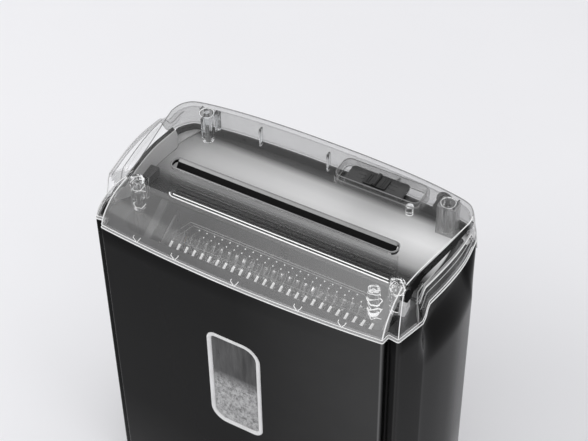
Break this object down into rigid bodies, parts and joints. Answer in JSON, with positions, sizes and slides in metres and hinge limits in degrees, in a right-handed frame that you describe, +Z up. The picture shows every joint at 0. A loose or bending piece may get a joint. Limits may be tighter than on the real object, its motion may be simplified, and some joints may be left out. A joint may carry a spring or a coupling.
{
  "type": "paper shredder",
  "caption": "Upright paper shredder: clear-topped cutting head with a long feed slot, lifted by side grips from a black bin with a leaf-shaped window.",
  "frame": {"origin": "centre of the bounding box's footprint, on the floor the feet stand on", "axes": "+X to the machine's right, -Y to its front, +Z up"},
  "size_m": [0.3252, 0.176, 0.364],
  "materials": {
    "bin_black": "glossy black moulded plastic",
    "clear_plastic": "clear polished acrylic",
    "bezel_white": "white gloss moulded plastic",
    "window_smoke": "frosted smoked plastic",
    "foot_rubber": "matte black rubber",
    "deck_gunmetal": "polished dark gunmetal plate",
    "casing_black": "fine textured black plastic",
    "frame_steel": "zinc plated steel",
    "cutter_steel": "ground hardened steel",
    "bush_bronze": "sintered bronze",
    "gear_nylon": "natural nylon",
    "motor_steel": "grey plated steel can",
    "board_green": "green soldermask",
    "component_black": "black moulded component body",
    "switch_black": "satin black plastic",
    "lead_black": "black PVC insulation",
    "guide_grey": "satin grey sheet steel"
  },
  "bodies": {
    "bin": {"bin_shell": "bin_black", "window_frame": "bezel_white", "window_pane": "window_smoke", "foot_front_left": "foot_rubber", "foot_rear_left": "foot_rubber", "foot_front_right": "foot_rubber", "foot_rear_right": "foot_rubber"},
    "head": {"top_cover": "clear_plastic", "slot_liner": "switch_black", "throat_guide": "clear_plastic", "deck_plate": "deck_gunmetal", "lower_casing": "casing_black", "cord_gland": "component_black", "cover_screw_front_left": "frame_steel", "cover_screw_front_right": "frame_steel", "cover_screw_rear_left": "frame_steel", "cover_screw_rear_right": "frame_steel", "side_frame_left": "frame_steel", "side_frame_right": "frame_steel", "front_bush_left": "bush_bronze", "rear_bush_left": "bush_bronze", "front_bush_right": "bush_bronze", "rear_bush_right": "bush_bronze", "gear_cowl_left": "guide_grey", "gear_cowl_right": "guide_grey", "tie_rod_front": "frame_steel", "tie_rod_rear": "frame_steel", "tie_rod_upper": "frame_steel", "front_stripper": "casing_black", "rear_stripper": "casing_black", "front_comb": "clear_plastic", "rear_guide": "guide_grey", "idler_pin": "frame_steel", "motor_can": "motor_steel", "switch_plate": "switch_black", "control_board": "board_green", "relay": "component_black", "capacitor": "component_black", "motor_lead": "lead_black", "sensor_bracket": "casing_black", "sensor_pin": "frame_steel", "interlock_switch": "component_black"},
    "front_cutter_set": {"front_cutter": "cutter_steel", "front_sync_gear": "gear_nylon"},
    "rear_cutter_set": {"rear_cutter": "cutter_steel", "rear_sync_gear": "gear_nylon", "main_gear": "gear_nylon"},
    "idler": {"idler_gear": "gear_nylon"},
    "motor_shaft": {"motor_rotor": "frame_steel"},
    "mode_switch": {"switch_slider": "switch_black"},
    "paper_sensor": {"sensor_lever": "component_black"},
    "interlock": {"interlock_button": "component_black"}
  },
  "joints": [
    {"name": "head_lift", "type": "slide", "parent": "bin", "child": "head", "axis": [0, 0, 1], "range_m": [0, 0.2]},
    {"name": "switch_slide", "type": "slide", "parent": "head", "child": "mode_switch", "axis": [1, 0, 0], "range_m": [-0.009, 0.009]},
    {"name": "rear_cutter_spin", "type": "hinge", "parent": "head", "child": "rear_cutter_set", "pos_m": [0, 0.0104, 0.256], "axis": [1, 0, 0], "continuous": true},
    {"name": "front_cutter_spin", "type": "hinge", "parent": "head", "child": "front_cutter_set", "pos_m": [0, -0.0236, 0.256], "axis": [1, 0, 0], "continuous": true},
    {"name": "idler_spin", "type": "hinge", "parent": "head", "child": "idler", "pos_m": [0, 0.04464, 0.26328], "axis": [1, 0, 0], "continuous": true},
    {"name": "motor_spin", "type": "hinge", "parent": "head", "child": "motor_shaft", "pos_m": [0, 0.04969, 0.28705], "axis": [1, 0, 0], "continuous": true},
    {"name": "paper_sensor_tilt", "type": "hinge", "parent": "head", "child": "paper_sensor", "pos_m": [0, 0.006, 0.31], "axis": [1, 0, 0], "range_deg": [0, 40], "stiffness_Nm_per_rad": 0.002, "springref_deg": -17.19},
    {"name": "interlock_press", "type": "slide", "parent": "head", "child": "interlock", "axis": [0, 0, 1], "range_m": [0, 0.002], "stiffness_N_per_m": 200, "springref_m": -0.002}
  ],
  "couplings": [
    {"joint": "front_cutter_spin", "follows": "rear_cutter_spin", "ratio": -1},
    {"joint": "idler_spin", "follows": "rear_cutter_spin", "ratio": -3},
    {"joint": "motor_spin", "follows": "rear_cutter_spin", "ratio": 8.5714}
  ]
}
